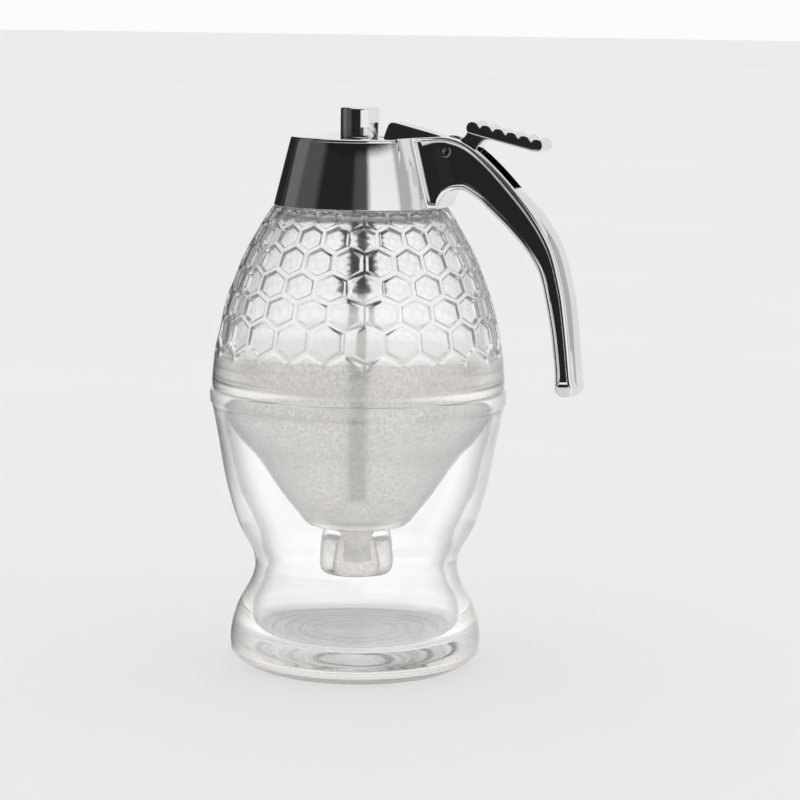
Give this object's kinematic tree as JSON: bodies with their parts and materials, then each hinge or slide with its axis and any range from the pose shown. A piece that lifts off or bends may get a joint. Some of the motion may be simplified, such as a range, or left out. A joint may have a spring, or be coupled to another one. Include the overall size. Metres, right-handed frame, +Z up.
{
  "type": "honey dispenser",
  "caption": "Glass honey dispenser: honeycomb jar with a spring-loaded stopper in its spout, chromed cap with a handle and thumb lever, standing in a glass cup.",
  "frame": {"origin": "centre of the flat underside of the stand's foot, on the surface it stands on", "axes": "+Z up along the axis of jar and stand, +X towards the handle and the thumb lever"},
  "size_m": [0.0986, 0.0768, 0.1448],
  "materials": {
    "stand_glass": "clear pressed glass, polished",
    "jar_glass": "clear pressed glass with a honeycomb relief",
    "gasket": "soft translucent food-grade ring",
    "cap_chrome": "mirror chrome",
    "liner": "white moulded plastic",
    "handle_chrome": "mirror chrome on a die casting",
    "fasteners": "plain stainless steel",
    "lever_chrome": "mirror chrome on a die casting",
    "rod_steel": "ground stainless steel",
    "knob_chrome": "mirror chrome",
    "bush": "ivory moulded plastic",
    "seal_rubber": "black rubber ring",
    "spring_steel": "bright spring steel",
    "stopper_rubber": "white food-grade silicone"
  },
  "bodies": {
    "stand": {"stand": "stand_glass"},
    "jar": {"jar": "jar_glass"},
    "gasket": {"neck_gasket": "gasket"},
    "cap": {"cap_shell": "cap_chrome", "thread_liner": "liner", "handle": "handle_chrome", "handle_screws": "fasteners", "lever_pin": "fasteners", "rod_bush": "bush", "rod_seal": "seal_rubber", "spring_washer": "fasteners", "spring": "spring_steel"},
    "lever": {"lever": "lever_chrome"},
    "rod": {"rod": "rod_steel", "rod_knob": "knob_chrome", "spring_seat": "fasteners", "retaining_clip": "spring_steel", "stopper": "stopper_rubber", "stopper_nut": "fasteners"}
  },
  "joints": [
    {"name": "jar_lift", "type": "slide", "parent": "stand", "child": "jar", "axis": [0, 0, 1], "range_m": [0, 0.06]},
    {"name": "cap_rise", "type": "slide", "parent": "jar", "child": "gasket", "axis": [0, 0, 1], "range_m": [0, 0.0051]},
    {"name": "cap_turn", "type": "hinge", "parent": "gasket", "child": "cap", "pos_m": [0, 0, 0.13], "axis": [0, 0, 1], "range_deg": [0, 450]},
    {"name": "lever_press", "type": "hinge", "parent": "cap", "child": "lever", "pos_m": [0.0241, 0, 0.1344], "axis": [0, 1, 0], "range_deg": [0, 14]},
    {"name": "rod_lift", "type": "slide", "parent": "cap", "child": "rod", "axis": [0, 0, 1], "range_m": [0, 0.00547], "stiffness_N_per_m": 356, "springref_m": -0.00857, "deforming": ["spring"]}
  ],
  "couplings": [
    {"joint": "cap_rise", "follows": "cap_turn", "m_per_rad": 0.00063662},
    {"joint": "lever_press", "follows": "rod_lift", "rad_per_m": 44.64}
  ]
}
